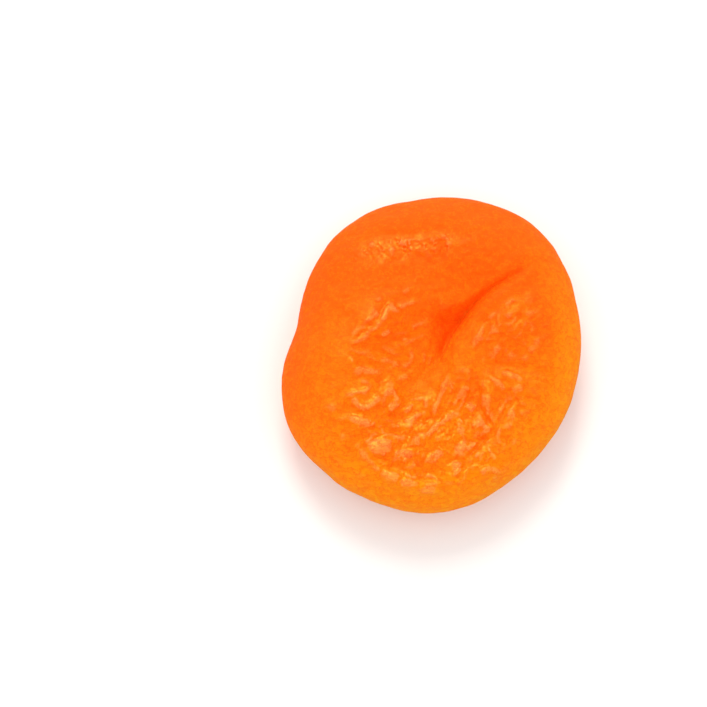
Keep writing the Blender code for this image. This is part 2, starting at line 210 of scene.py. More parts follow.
# Single ridges of the upper face: points, half width, and rise, in millimetres
RIDGES = [
    # south-west
    (((-9.96, -6.0), (-9.3, -6.75), (-8.5, -7.3)), 0.27, STRONG),
    (((-8.5, -7.3), (-7.75, -6.9), (-7.05, -6.3), (-6.55, -5.7)), 0.25, STRONG),
    (((-6.1, -5.8), (-5.7, -5.1), (-5.2, -4.9), (-4.65, -5.7), (-4.35, -6.4)), 0.30, STRONG),
    (((-4.35, -6.4), (-4.9, -6.9), (-5.5, -7.4)), 0.26, STRONG),
    (((-5.9, -4.2), (-5.2, -4.0), (-4.7, -4.3)), 0.20, FAINT),
    (((-12.8, -6.7), (-12.2, -7.6)), 0.36, MIDDLING),
    (((-11.0, -5.8), (-9.7, -5.4), (-8.3, -5.1), (-7.8, -4.6)), 0.22, MIDDLING),
    (((-8.6, -5.2), (-8.3, -6.0)), 0.18, FAINT),
    (((-10.3, -8.3), (-9.3, -8.65), (-8.3, -9.1), (-8.0, -9.7)), 0.42, STRONG),
    (((-7.9, -9.1), (-7.0, -9.3), (-6.3, -9.7), (-6.0, -10.6)), 0.17, FAINT),
    (((-8.5, -11.3), (-7.9, -11.2), (-7.5, -10.6), (-6.8, -10.1)), 0.18, MIDDLING),
    (((-7.9, -11.9), (-7.2, -12.4), (-6.3, -12.7), (-6.0, -12.1)), 0.34, STRONG),
    (((-6.9, -11.6), (-6.0, -11.4), (-5.1, -11.6)), 0.32, STRONG),
    (((-4.7, -12.6), (-4.3, -12.8)), 0.26, MIDDLING),
    (((-3.5, -13.0), (-2.8, -12.6)), 0.26, STRONG),
    (((-3.5, -13.4), (-3.4, -13.8)), 0.20, MIDDLING),
    (((-11.1, -10.3), (-11.3, -11.6)), 0.26, FAINT),
    # middle of the south
    (((-3.5, -7.5), (-2.9, -6.8), (-2.2, -6.45)), 0.20, MIDDLING),
    (((-3.65, -8.7), (-2.65, -8.5), (-1.9, -7.9), (-1.2, -7.7)), 0.22, MIDDLING),
    (((-1.7, -5.6), (-0.9, -5.8), (-0.6, -7.1)), 0.24, MIDDLING),
    (((-1.7, -9.1), (-0.6, -9.1)), 0.18, MIDDLING),
    (((-2.2, -11.4), (-1.7, -10.7), (-1.2, -10.0)), 0.28, MIDDLING),
    (((-1.1, -10.8), (-0.5, -10.0), (0.7, -9.0), (1.6, -8.4), (2.1, -8.0)), 0.25, MIDDLING),
    (((0.1, -12.65), (1.25, -12.75)), 0.28, MIDDLING),
    # arc along the inside of the south rim
    (((-9.2, -12.1), (-8.0, -13.6), (-7.3, -14.3), (-6.5, -15.2)), 0.38, STRONG),
    (((-6.5, -15.2), (-5.6, -15.8), (-4.9, -15.9), (-4.2, -16.3)), 0.44, STRONG),
    (((-3.9, -16.6), (-3.3, -16.8), (-2.8, -16.9)), 0.38, STRONG),
    (((-1.5, -17.6), (-0.7, -17.75), (0.3, -17.8)), 0.20, STRONG),
    (((-1.2, -17.0), (0.0, -16.8), (0.6, -16.9)), 0.20, MIDDLING),
    (((-3.6, -15.6), (-2.7, -15.8), (-1.9, -16.2)), 0.20, MIDDLING),
    (((2.4, -14.2), (3.0, -14.1), (3.3, -14.8), (2.4, -15.6)), 0.26, STRONG),
    # south swell
    (((1.4, -3.7), (3.2, -3.1), (5.0, -3.4)), 0.95, 0.20),
    (((1.7, -3.3), (1.4, -4.2), (0.95, -5.7), (0.4, -6.7), (0.25, -7.7)), 0.27, STRONG),
    (((3.0, -3.9), (2.4, -4.7), (2.0, -5.2)), 0.22, MIDDLING),
    (((3.4, -2.4), (4.0, -2.3), (4.6, -2.6)), 0.24, MIDDLING),
    (((5.2, -2.7), (5.7, -3.6)), 0.22, FAINT),
    (((4.4, -4.3), (4.4, -4.8)), 0.32, MIDDLING),
    (((4.5, -6.3), (4.6, -6.8), (4.9, -7.3)), 0.26, STRONG),
    (((2.2, -6.0), (2.3, -6.5)), 0.26, FAINT),
    (((3.2, -8.2), (3.25, -9.5), (3.7, -10.2)), 0.28, MIDDLING),
    (((2.8, -11.9), (3.4, -12.35), (4.0, -11.3)), 0.38, STRONG),
    (((4.2, -12.35), (4.8, -11.7), (5.5, -11.4)), 0.22, MIDDLING),
    (((5.2, -9.0), (6.0, -8.8), (6.6, -9.3), (7.3, -9.7)), 0.30, STRONG),
    # south-east
    (((6.9, -12.0), (7.8, -13.6)), 0.16, MIDDLING),
    (((6.1, -15.7), (6.3, -14.8), (7.3, -14.7), (8.1, -15.3)), 0.28, STRONG),
    (((7.3, -16.0), (8.0, -15.9)), 0.22, MIDDLING),
    (((9.9, -11.1), (10.3, -11.2)), 0.26, MIDDLING),
    (((10.8, -9.9), (10.9, -10.3)), 0.26, FAINT),
    (((12.7, -9.8), (13.0, -9.8)), 0.26, FAINT),
    # knob
    (((7.2, -3.3), (7.95, -3.65), (8.55, -4.05), (8.8, -5.0)), 0.28, STRONG),
    (((6.4, -5.4), (6.7, -6.1)), 0.24, MIDDLING),
    (((9.0, -6.4), (8.4, -7.6)), 0.20, MIDDLING),
    (((8.55, -2.9), (9.3, -2.7), (10.2, -3.1), (11.4, -3.75)), 0.28, STRONG),
    (((10.5, -4.05), (11.0, -5.05)), 0.30, STRONG),
    (((9.3, -7.4), (9.8, -7.75)), 0.32, MIDDLING),
    (((10.8, -7.6), (12.2, -7.4)), 0.22, FAINT),
    (((12.5, -6.6), (12.8, -6.8)), 0.30, FAINT),
    (((13.7, -1.4), (14.3, -2.05)), 0.24, STRONG),
    # west swell
    (((-6.8, 6.7), (-6.7, 6.2)), 0.28, MIDDLING),
    (((-6.8, 5.7), (-7.4, 4.9), (-8.05, 3.9), (-8.85, 2.9), (-9.6, 2.2), (-10.15, 1.45)), 0.34, MIDDLING),
    (((-6.7, 4.7), (-7.3, 4.3)), 0.22, MIDDLING),
    (((-5.2, 5.9), (-5.8, 5.0), (-6.15, 4.1), (-6.4, 3.7)), 0.24, MIDDLING),
    (((-5.3, 5.45), (-4.6, 5.0)), 0.30, MIDDLING),
    (((-4.3, 5.45), (-3.15, 6.05), (-2.0, 6.4)), 0.20, MIDDLING),
    (((-6.65, 3.15), (-7.25, 2.7), (-8.1, 2.2), (-8.7, 1.6), (-9.4, 1.15), (-10.1, 0.85)), 0.22, MIDDLING),
    (((-5.35, 2.6), (-6.4, 1.8)), 0.20, MIDDLING),
    (((-3.5, 1.9), (-3.4, 1.5)), 0.30, MIDDLING),
    (((-2.9, 3.2), (-1.5, 3.7), (-0.2, 4.6)), 0.15, FAINT),
    (((-3.7, 0.7), (-2.2, 1.8), (-0.8, 2.4)), 0.15, FAINT),
    (((-3.7, 7.4), (-2.9, 8.0)), 0.20, MIDDLING),
    (((-7.6, 3.2), (-5.9, 4.6), (-4.2, 5.6)), 0.90, 0.20),
    # below the west swell
    (((-6.7, -1.15), (-5.6, -1.05), (-4.9, -1.15), (-4.3, -1.5)), 0.26, MIDDLING),
    (((-9.6, -2.25), (-8.85, -2.8)), 0.38, STRONG),
    (((-8.7, -2.6), (-7.2, -2.6)), 0.28, MIDDLING),
    (((-10.2, -1.3), (-9.8, -1.3)), 0.24, MIDDLING),
    (((-10.5, 0.2), (-9.4, -0.2), (-8.2, -0.4)), 0.17, FAINT),
    (((-9.0, -3.9), (-8.0, -3.95)), 0.20, MIDDLING),
    (((-2.7, 0.4), (-2.6, -0.45), (-2.9, -1.35), (-4.0, -1.95)), 0.22, MIDDLING),
    (((-4.3, -3.3), (-3.15, -2.85)), 0.28, MIDDLING),
    (((-0.95, 0.1), (-1.1, -1.1)), 0.16, MIDDLING),
    (((-0.15, -0.2), (-0.45, -1.5)), 0.16, MIDDLING),
    (((-1.2, -3.0), (-3.2, -5.4)), 0.60, FAINT),
    (((0.4, 5.0), (2.4, 5.2), (4.5, 5.5)), 0.28, 0.24),
    (((0.6, 6.0), (2.6, 6.2), (4.4, 6.7)), 0.80, 0.30),
    # under the north-west brim
    (((-7.8, 13.2), (-7.3, 13.0)), 0.28, MIDDLING),
    (((-4.1, 13.4), (-3.6, 13.1), (-3.0, 13.3)), 0.30, MIDDLING),
    (((-9.3, 12.0), (-8.9, 11.7), (-8.3, 12.1)), 0.28, FAINT),
    (((-5.4, 12.1), (-4.6, 12.5)), 0.26, FAINT),
    (((-0.2, 13.7), (0.1, 13.3), (0.6, 12.8)), 0.26, FAINT),
    (((1.2, 14.1), (1.7, 13.7), (2.1, 13.0), (1.9, 12.6)), 0.26, MIDDLING),
    # lobe
    (((11.0, 6.3), (10.1, 6.25), (9.4, 6.0)), 0.20, MIDDLING),
    (((8.1, 4.95), (7.3, 4.2), (7.15, 3.8)), 0.24, MIDDLING),
    (((7.5, 3.5), (7.55, 2.5), (8.1, 2.8)), 0.24, STRONG),
    (((6.7, 3.6), (6.3, 2.8), (5.9, 2.2)), 0.24, MIDDLING),
    (((6.1, 2.3), (5.4, 1.6), (5.2, 0.9)), 0.28, STRONG),
    (((5.6, 1.55), (6.85, 1.5), (7.85, 1.7)), 0.20, MIDDLING),
    (((9.3, 4.3), (9.6, 4.3)), 0.28, STRONG),
    (((8.6, 3.1), (9.8, 3.5), (10.3, 4.1)), 0.20, MIDDLING),
    (((8.1, 0.7), (8.1, 0.2)), 0.30, MIDDLING),
    (((10.0, 2.2), (10.0, 1.2)), 0.36, FAINT),
    (((11.1, 1.5), (11.8, 0.6), (12.4, 0.0)), 0.26, MIDDLING),
    (((12.5, 1.3), (13.2, 1.3)), 0.20, MIDDLING),
    (((11.5, -0.25), (11.6, -1.0)), 0.24, MIDDLING),
    (((11.3, 4.4), (12.4, 4.8), (13.4, 4.95)), 0.20, FAINT),
]
# Single creases, in the same way
CREASES = [
    (((-9.6, 13.2), (-7.4, 14.1), (-4.6, 14.4), (-2.2, 14.4), (-0.2, 14.3)), 0.60, -0.13),
    (((5.7, -4.0), (5.6, -5.0), (5.75, -6.8), (6.7, -8.3), (7.6, -10.0)), 0.30, -0.30),
    (((7.6, -10.0), (6.4, -10.8), (5.8, -11.4), (4.8, -12.7), (4.0, -13.3)), 0.32, -0.34),
    (((4.0, -13.3), (3.7, -14.8), (2.8, -16.6)), 0.32, -0.24),
    (((7.6, -10.0), (8.6, -8.0), (9.2, -6.6), (10.5, -6.1)), 0.30, -0.26),
    (((8.4, -3.4), (9.4, -3.9), (9.4, -5.4)), 0.36, -0.24),
    (((-5.6, 6.2), (-6.3, 5.2), (-6.6, 4.5)), 0.22, -0.10),
    (((-6.4, -3.6), (-6.6, -4.6), (-6.9, -5.2)), 0.50, -0.24),
    (((-5.9, -9.8), (-4.0, -9.9), (-2.0, -9.8)), 0.34, -0.24),
    (((-2.6, -13.0), (-3.0, -13.9)), 0.22, -0.24),
    (((-5.4, -14.4), (-3.4, -14.4)), 0.34, -0.18),
    (((-8.3, -3.4), (-6.0, -3.6)), 0.34, -0.20),
    (((-8.0, -1.7), (-6.8, -1.8)), 0.26, -0.16),
    (((-7.2, 1.5), (-4.3, 1.3)), 0.40, -0.14),
    (((9.6, 0.6), (10.8, 0.0)), 0.50, -0.16),
    (((10.9, 5.8), (11.3, 4.9)), 0.20, -0.16),
    (((6.4, -1.3), (9.0, -1.7), (12.8, -2.4)), 0.70, -0.12),
    (((2.2, -0.9), (0.9, -3.1), (-0.6, -5.2)), 0.90, -0.32),
    (((2.3, 3.4), (1.9, 1.6), (1.4, -0.4)), 0.65, -0.38),
]
RIDGE_BREADTH = 1.45  # times the half widths of the ridges
RIDGE_FADE = 0.18  # share of a ridge over which each end fades
RIDGE_END = 0.3  # its height at the very end, as a share of its full height

# Bands of the upper face that stay smooth: their middle line and half width, in millimetres
LIP = (
    (2.9, -1.6), (3.5, 0.2), (4.1, 1.9), (5.3, 4.0), (6.8, 5.8), (8.1, 7.0), (9.9, 8.0), (11.6, 8.4),
)
SMOOTH_BANDS = [
    (LIP, 0.90),
    (((3.9, 4.7), (2.6, 2.6), (1.9, 0.2), (0.8, -2.2), (-0.8, -4.0)), 0.95),
    (((4.6, 5.6), (6.4, 7.3), (9.2, 9.0), (12.8, 10.5)), 0.35),
]
BAND_EDGE = 0.5 * MM
BAND_SHARE = 0.17  # how much of the fold's painted shade the bands get

# The underside's wrinkles
LOWER_DEPTH = 0.6
LOWER_REACH = (9 * MM, 16 * MM)  # where they start to fade and end
LOWER_LONG_SHARE = 0.5

# Unevenness of the whole skin
DIMPLE_HEIGHT = 0.065 * MM
DIMPLE_LENGTH = 2.6 * MM
SMALL_DIMPLE_LENGTH = 1.1 * MM
SMALL_DIMPLE_SHARE = 0.5
STREAK_HEIGHT = 0.09 * MM
STREAK_LENGTH = 1.1 * MM
STREAK_STRETCH = 0.3

# How level the skin is, 1 being level, where each of these starts and is full
UPPER_LEVEL = (0.30, 0.80)
LOWER_LEVEL = (0.55, 0.95)
SOFTENED_LEVEL = (0.1, 0.5)
STREAK_LEVEL = (0.3, 0.9)  # the streaks start to fade and end here
OFF_TABLE = (0.02 * MM, 0.60 * MM)  # how far above the table the relief starts and is full

# What the tone attribute holds
RIM_REACH = (0.62, 1.0)  # share of the way out where the rim's painted glow starts and is full
# The hollow's painted shade follows how far the skin lies below its smoothed surroundings, and the crests
# how far it lies above
HOLLOW_ROUNDS, HOLLOW_BLUR_ROUNDS, CREST_ROUNDS = 60, 4, 50
HOLLOW_DEPTH = 0.9 * MM
HOLLOW_FROM = 0.4  # share of the height that the hollow is above
CREST_HEIGHT = 0.16 * MM

# Colours. Some hold painted light and shade: the rim's painted glow, painted shade on the face to the
# north and on the rim to the north-west, painted shade in the fold, and a painted highlight on the crests
# The rim: a painted glow of light through its thin flesh to the south, and painted shade to the north-west
RIM_GLOW_COLOUR = (0.98, 0.300, 0.002)
RIM_SHADED_COLOUR = (0.98, 0.108, 0.001)
# The face: lit to the south, and painted shade to the north
FACE_LIT_COLOUR = (0.98, 0.188, 0.002)
FACE_SHADED_COLOUR = (0.97, 0.099, 0.001)
# Painted shade in the hollow and along the fold's bands
FOLD_SHADE_COLOUR = (0.93, 0.056, 0.001)
VEIN_COLOUR = (0.94, 0.060, 0.001)
# Partly the paler skin of the crests, partly a painted highlight on them
CREST_PALE_AND_HIGHLIGHT_COLOUR = (1.0, 0.450, 0.145)
CURL_COLOUR = (1.0, 0.250, 0.003)
BLOTCH_COLOUR = (0.96, 0.072, 0.001)
SHEEN_TINT = (1.0, 0.62, 0.16, 1.0)
NORTH_WEST = (-0.45, 0.90, 0.0)  # the way that the rim is painted darker and redder, as shade
FACE_NORTH = (-9 * MM, 13 * MM)  # up the face, from the lit southern colour to the painted shade of the northern
RIM_NORTH = (-16 * MM, 12 * MM)  # and to the north-west on the rim, from its painted glow to its painted shade

# Patterns of soft patches: length, the noise's detail and roughness, where they start and are
# full, and share
PATCHES = (6 * MM, 3, 0.5, 0.35, 0.75, 0.25)
BLOTCHES = (1.1 * MM, 4, 0.65, 0.42, 0.66, 0.20)
HAIRS = (0.40 * MM, 3, 0.6, 0.42, 0.66, 0.32)
HAIR_STRETCH = (0.45, 1.0, 1.0)  # longer from side to side
# Patterns of thin lines: length, the noise's detail and roughness, the level that they follow,
# width, and share
CURLS = (0.9 * MM, 2, 0.6, 0.55, 0.060, 0.25)
VEINS = (1.1 * MM, 2, 0.6, 0.50, 0.050, 0.38)
# Values of the tone attribute where a colour starts and is full, and the colour's share
# For the rim's painted glow, the hollow's painted shade, and the crests' paler skin and painted highlight
RIM_MIX = (0.15, 0.95, 1.0)
HOLLOW_SHADE_MIX = (0.05, 0.8, 0.88)
PALE_AND_HIGHLIGHT_MIX = (0.50, 0.90, 0.30)
# Sockets of the node that mixes colours
SHARE_IN, FIRST_IN, SECOND_IN, MIXED_OUT = 0, 6, 7, 2

# The skin's gloss and flesh
WET_NOISE = (1.8 * MM, 3, 0.5)  # length, detail and roughness
WET_RANGE = (0.02, 0.58)  # wetness times noise, where the skin is dry and where it is wettest
DRY_ROUGHNESS, WET_ROUGHNESS = 0.70, 0.29
# Fine relief: length, the noise's detail and roughness, strength, and height
MOTTLE = (0.9 * MM, 2, 0.5, 0.6, 0.20 * MM)
PORES = (0.28 * MM, 3, 0.6, 0.4, 0.035 * MM)
FLESH = {
    "Subsurface Weight": 0.5,
    "Subsurface Radius": (1.0, 0.35, 0.10),
    "Subsurface Scale": 1.2 * MM,
    "IOR": 1.50,
    "Specular IOR Level": 0.2,
    "Specular Tint": SHEEN_TINT,
}

# The studio
FLOOR_COLOUR = (0.92, 0.92, 0.92, 1.0)
FLOOR_ROUGHNESS = 0.7
FLOOR_HALF = 1.5
WHITE = (1.0, 1.0, 1.0)
WARM_LIGHT = (1.0, 0.86, 0.28)
SKY_STRENGTH = 1.06
NORTH_LIGHT = (-0.06, 0.40, 0.46)
WEST_LIGHT = (-0.34, 0.10, 0.50)
LIGHTS = [  # name, place, side, power, and whether it is for the sheen alone
    ("north_light", NORTH_LIGHT, 0.22, 1.2, False),
    ("north_sheen", NORTH_LIGHT, 0.22, 7.9, True),
    ("west_sheen", WEST_LIGHT, 0.16, 1.6, True),
]

# The photograph: its side and the fruit's box in it, in pixels, and the view
PHOTO_SIDE = 707
FRUIT_LEFT, FRUIT_RIGHT, FRUIT_TOP, FRUIT_BOTTOM = 281.2, 581.5, 193.4, 511.5
VIEW_ELEVATION = math.radians(80)
LENS = 135.0
SENSOR = 36.0
NEAREST, FARTHEST = 0.01, 10.0


def smooth_step(low, high, value):
    share = np.clip((value - low) / (high - low), 0.0, 1.0)
    return share * share * (3 - 2 * share)


def turned(x, y, degrees):
    cos, sin = math.cos(math.radians(degrees)), math.sin(math.radians(degrees))
    return x * cos + y * sin, y * cos - x * sin


def plan_axes():
    places = (np.arange(MAP_CELLS) - (MAP_CELLS - 1) / 2) * MAP_CELL
    return np.meshgrid(places, places)


PLAN_X, PLAN_Y = plan_axes()


def angle_between(a, b):
    """How far apart two directions are, as lines without arrowheads."""
    return (a - b + math.pi / 2) % math.pi - math.pi / 2


def run_directions(runs):
    """The angle of the ridges at each cell, blended between the runs."""
    along, across = np.zeros_like(PLAN_X), np.zeros_like(PLAN_X)
    for x, y, degrees in runs:
        distance = np.hypot(PLAN_X - x * MM, PLAN_Y - y * MM)
        weight = 1 / (1 + (distance / RUN_REACH) ** 4)
        along += weight * math.cos(math.radians(2 * degrees))
        across += weight * math.sin(math.radians(2 * degrees))
    return np.arctan2(across, along) / 2


def waves(seed, wavelength, mix, directions, spread):
    """Waves of this length whose crests follow the directions, about 1 high."""
    random = np.random.default_rng(seed)
    spectrum = np.fft.fft2(random.standard_normal(PLAN_X.shape))
    turns = np.fft.fftfreq(MAP_CELLS, MAP_CELL)
    fx, fy = np.meshgrid(turns, turns)
    ring = np.exp(-(((np.hypot(fx, fy) * wavelength - 1) / mix) ** 2))
    heading = np.arctan2(fy, fx) + math.pi / 2
    total = np.zeros_like(PLAN_X)
    for i in range(FILTER_BANK):
        angle = math.pi * i / FILTER_BANK
        window = np.exp(-((angle_between(heading, angle) / spread) ** 2))
        layer = np.fft.ifft2(spectrum * ring * window).real
        total += layer * np.exp(-((angle_between(directions, angle) / spread) ** 2))
    return WAVE_LIMIT * np.tanh(total / total.std() / WAVE_LIMIT)


def wrinkled(seed, directions, long_share, net_sign):
    """Relief in metres: waves, and a net of thin lines that are ridges or, under 0, creases."""
    total = np.zeros_like(PLAN_X)
    for i, (wavelength, mix, height, net_height) in enumerate(WRINKLES):
        long_waves = waves(seed + i, wavelength, mix, directions, LONG_SPREAD)
        short_waves = waves(seed + SHORT_SEEDS + i, wavelength, mix, directions, SHORT_SPREAD)
        both = long_share * long_waves + (1 - long_share) * short_waves
        total += height * both + net_height * net_sign * np.exp(-((both / NET_WIDTH) ** 2))
    return total


def spot_map(rows, elsewhere):
    """The largest of some oval spots at each cell."""
    total = np.full_like(PLAN_X, elsewhere)
    for x, y, length, width, turn, depth in rows:
        along, across = turned(PLAN_X - x * MM, PLAN_Y - y * MM, turn)
        out = np.hypot(along / (length * MM), across / (width * MM))
        total = np.maximum(total, depth * np.exp(-(out**4) / SPOT_FALL))
    return total


def line_distance(points):
    """Each cell's distance from a run of straight pieces, and the share of the run it is by."""
    best = np.full_like(PLAN_X, np.inf)
    share = np.zeros_like(PLAN_X)
    pieces = len(points) - 1
    for i, (start, end) in enumerate(zip(points, points[1:])):
        ax, ay, bx, by = (v * MM for v in (*start, *end))
        along, up = bx - ax, by - ay
        t = ((PLAN_X - ax) * along + (PLAN_Y - ay) * up) / math.dist((ax, ay), (bx, by)) ** 2
        t = np.clip(t, 0.0, 1.0)
        away = np.hypot(PLAN_X - ax - t * along, PLAN_Y - ay - t * up)
        share = np.where(away < best, (i + t) / pieces, share)
        best = np.minimum(best, away)
    return best, share


def ridge_map():
    total = np.zeros_like(PLAN_X)
    ridges = [(points, RIDGE_BREADTH * width, rise) for points, width, rise in RIDGES]
    for points, width, rise in ridges + CREASES:
        away, share = line_distance(points)
        fade = smooth_step(0, RIDGE_FADE, share) * smooth_step(0, RIDGE_FADE, 1 - share)
        fade = RIDGE_END + (1 - RIDGE_END) * fade
        total += rise * MM * fade * np.exp(-((away / (width * MM)) ** 2))
    return total


def away_from_bands():
    """0 in the smooth bands and 1 away from them."""
    total = np.ones_like(PLAN_X)
    for points, width in SMOOTH_BANDS:
        away, _ = line_distance(points)
        total *= smooth_step(width * MM, width * MM + BAND_EDGE, away)
    return total


def wandering(runs):
    """The directions of the runs, which wander a little."""
    anywhere = waves(STRAY_SEED, STRAY_LENGTH, STRAY_MIX, np.zeros_like(PLAN_X), math.pi)
    return run_directions(runs) + STRAY * anywhere


def grains(directions):
    """Patches of small grains, in metres."""
    bumps = waves(GRAIN_SEED, GRAIN_LENGTH, GRAIN_MIX, directions, math.pi)
    patches = waves(PATCH_SEED, GRAIN_PATCH, GRAIN_PATCH_MIX, directions, math.pi)
    patches = smooth_step(*GRAIN_PATCH_LEVELS, patches)
    return GRAIN_HEIGHT * bumps * patches * spot_map(GRAINS, 0.0)


def upper_map():
    """The upper face's fine relief, and where the smooth bands are."""
    directions = wandering(UPPER_RUNS)
    away = away_from_bands()
    depths = spot_map(UPPER_DEPTHS, DEPTH_EVERYWHERE) * away
    net_sign = 1 - 2 * spot_map(CREASED, 0.0)
    relief = wrinkled(UPPER_SEED, directions, spot_map(LONG_WRINKLES, 0.0), net_sign)
    return depths * relief + grains(directions) + ridge_map(), 1 - away


def lower_map():
    """The underside's fine relief: its wrinkles run outwards from its middle."""
    directions = np.arctan2(PLAN_Y, PLAN_X)
    fade = 1 - smooth_step(*LOWER_REACH, np.hypot(PLAN_X, PLAN_Y))
    depths = LOWER_DEPTH * fade + DEPTH_EVERYWHERE
    return depths * wrinkled(LOWER_SEED, directions, LOWER_LONG_SHARE, 1.0)


def sampled(plan_map, x, y):
    """The map's value at these places, blended between its cells."""
    last = MAP_CELLS - 1.001  # so that each place has a cell beyond it
    column = np.clip(x / MAP_CELL + (MAP_CELLS - 1) / 2, 0, last)
    row = np.clip(y / MAP_CELL + (MAP_CELLS - 1) / 2, 0, last)
    left, low = column.astype(int), row.astype(int)
    across, up = column - left, row - low
    lower = plan_map[low, left] * (1 - across) + plan_map[low, left + 1] * across
    upper = plan_map[low + 1, left] * (1 - across) + plan_map[low + 1, left + 1] * across
    return lower * (1 - up) + upper * up


def finer_mesh(node):
    """The solid's mesh welded, joined into quads, and then cut finer and rounded."""
    net = bmesh.new()
    net.from_mesh(node.data)
    bmesh.ops.remove_doubles(net, verts=net.verts, dist=WELD)
    bmesh.ops.join_triangles(
        net, faces=net.faces, angle_face_threshold=JOIN_ANGLE, angle_shape_threshold=JOIN_ANGLE
    )
    coarse = bpy.data.meshes.new("coarse")
    net.to_mesh(coarse)
    net.free()
    holder = bpy.data.objects.new("coarse", coarse)
    bpy.context.scene.collection.objects.link(holder)
    rounding = holder.modifiers.new("rounding", "SUBSURF")
    rounding.levels = rounding.render_levels = CUTS
    graph = bpy.context.evaluated_depsgraph_get()
    fine = bpy.data.meshes.new_from_object(holder.evaluated_get(graph))
    bpy.data.objects.remove(holder)
    bpy.data.meshes.remove(coarse)
    return fine


def vectors(collection, name):
    values = np.empty(len(collection) * 3)
    collection.foreach_get(name, values)
    return values.reshape(-1, 3)


def edge_ends(mesh):
    ends = np.empty(len(mesh.edges) * 2, int)
    mesh.edges.foreach_get("vertices", ends)
    return ends.reshape(-1, 2)


def smoothed(values, edges, rounds):
    """The values averaged over their neighbours, this many times."""
    count = np.bincount(edges.ravel(), minlength=len(values))
    for _ in range(rounds):
        total = np.bincount(edges[:, 0], values[edges[:, 1]], len(values))
        total += np.bincount(edges[:, 1], values[edges[:, 0]], len(values))
        values = (values + total / count) / 2
    return values


def noise_at(places):
    """Noise from about -1 to 1 whose patches are about 1 long."""
    return np.array([noise.noise(Vector(p), noise_basis="PERLIN_NEW") for p in places])


def dimples(places):
    """Broad shallow unevenness of the whole skin."""
    small = noise_at(places / SMALL_DIMPLE_LENGTH)
    return noise_at(places / DIMPLE_LENGTH) + SMALL_DIMPLE_SHARE * small


def streaks(places, normals):
    """Faint creases along the flank, from -1 to 1."""
    steep = 1 - smooth_step(*STREAK_LEVEL, np.abs(normals[:, 2]))
    return steep * noise_at(places * [STREAK_STRETCH, STREAK_STRETCH, 1.0] / STREAK_LENGTH)


def way_out(x, y):
    """0 over the fruit's middle and 1 at the outline."""
    high = cad_box[1]
    return np.hypot(x / high.x, y / high.y)


def soften(places, normals, edges):
    """Smooths the skin where SOFTENED says, and the walls round the hollow however steep."""
    x, y, z = places.T
    walls = (1 - smooth_step(*HOLLOW_REACH, way_out(x, y))) * (z > HOLLOW_HEIGHT * cad_box[1].z)
    share = sampled(spot_map(SOFTENED, 0.0), x, y)
    share *= np.maximum(smooth_step(*SOFTENED_LEVEL, normals[:, 2]), walls)
    smooth = np.column_stack([smoothed(axis, edges, SOFTENING_ROUNDS) for axis in places.T])
    places += (smooth - places) * share[:, None]


def slide(places):
    """Lays the features of the upper face a little nearer the camera, and leaves the rim."""
    x, y, z = places.T
    share = 1 - smooth_step(*SLIDE_RIM, way_out(x, y))
    share *= 1 - smooth_step(*SLIDE_NORTH, y)
    share *= smooth_step(*SLIDE_HEIGHT, z / cad_box[1].z)
    places[:, 1] -= FACE_SLIDE * share


def skin():
    """The visible fruit."""
    mesh = finer_mesh(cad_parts[NODE])
    places = vectors(mesh.vertices, "co")
    normals = vectors(mesh.vertices, "normal")
    edges = edge_ends(mesh)
    soften(places, normals, edges)

    x, y, z = places.T
    facing_up = smooth_step(*UPPER_LEVEL, normals[:, 2])
    facing_down = smooth_step(*LOWER_LEVEL, -normals[:, 2])
    off_table = smooth_step(*OFF_TABLE, z)
    upper, bands = upper_map()
    height = facing_up * sampled(upper, x, y)
    height += facing_down * off_table * sampled(lower_map(), x, y)
    height += DIMPLE_HEIGHT * dimples(places) * off_table
    height += STREAK_HEIGHT * streaks(places, normals) * off_table
    # The patches' map is a painted highlight; the bands' map feeds painted shade
    band, moist, pale_and_highlight = (
        facing_up * sampled(plan_map, x, y)
        for plan_map in (bands, spot_map(MOIST, 0.0), spot_map(PAINTED_HIGHLIGHT_PATCHES, 0.0))
    )

    places += normals * height[:, None]
    places[:, 2] = np.maximum(places[:, 2], 0.0)
    slide(places)
    mesh.vertices.foreach_set("co", places.ravel())
    mesh.update()
    paint(mesh, edges, places, height, band, pale_and_highlight)
    mesh.attributes.new("moist", "FLOAT", "POINT").data.foreach_set("value", moist)
    mesh.shade_smooth()
    piece = bpy.data.objects.new("apricot_skin", mesh)
    bpy.context.scene.collection.objects.link(piece)
    return piece


def paint(mesh, edges, places, height, band, pale_and_highlight):
    """The tone attribute: red for the rim's painted glow, green for painted shade in the hollow and the
    bands, and blue for the crests with the painted highlight patches.
    """
    x, y, z = places.T
    rim = smooth_step(*RIM_REACH, way_out(x, y))
    # Painted shade where the skin lies below its smoothed surroundings, and along the bands
    around = smoothed(z, edges, HOLLOW_ROUNDS)
    hollow = np.clip((around - z) / HOLLOW_DEPTH, 0, 1) * (z > HOLLOW_FROM * cad_box[1].z)
    hollow = smoothed(np.maximum(hollow, BAND_SHARE * band), edges, HOLLOW_BLUR_ROUNDS)
    crests = np.clip((height - smoothed(height, edges, CREST_ROUNDS)) / CREST_HEIGHT, -1, 1)
    # The painted highlight patches join the crests
    crests = np.maximum(crests / 2 + 0.5, pale_and_highlight)
    attribute = mesh.color_attributes.new("tone", "FLOAT_COLOR", "POINT")
    values = np.column_stack([rim, hollow, crests, np.ones_like(rim)])
    attribute.data.foreach_set("color", values.ravel())


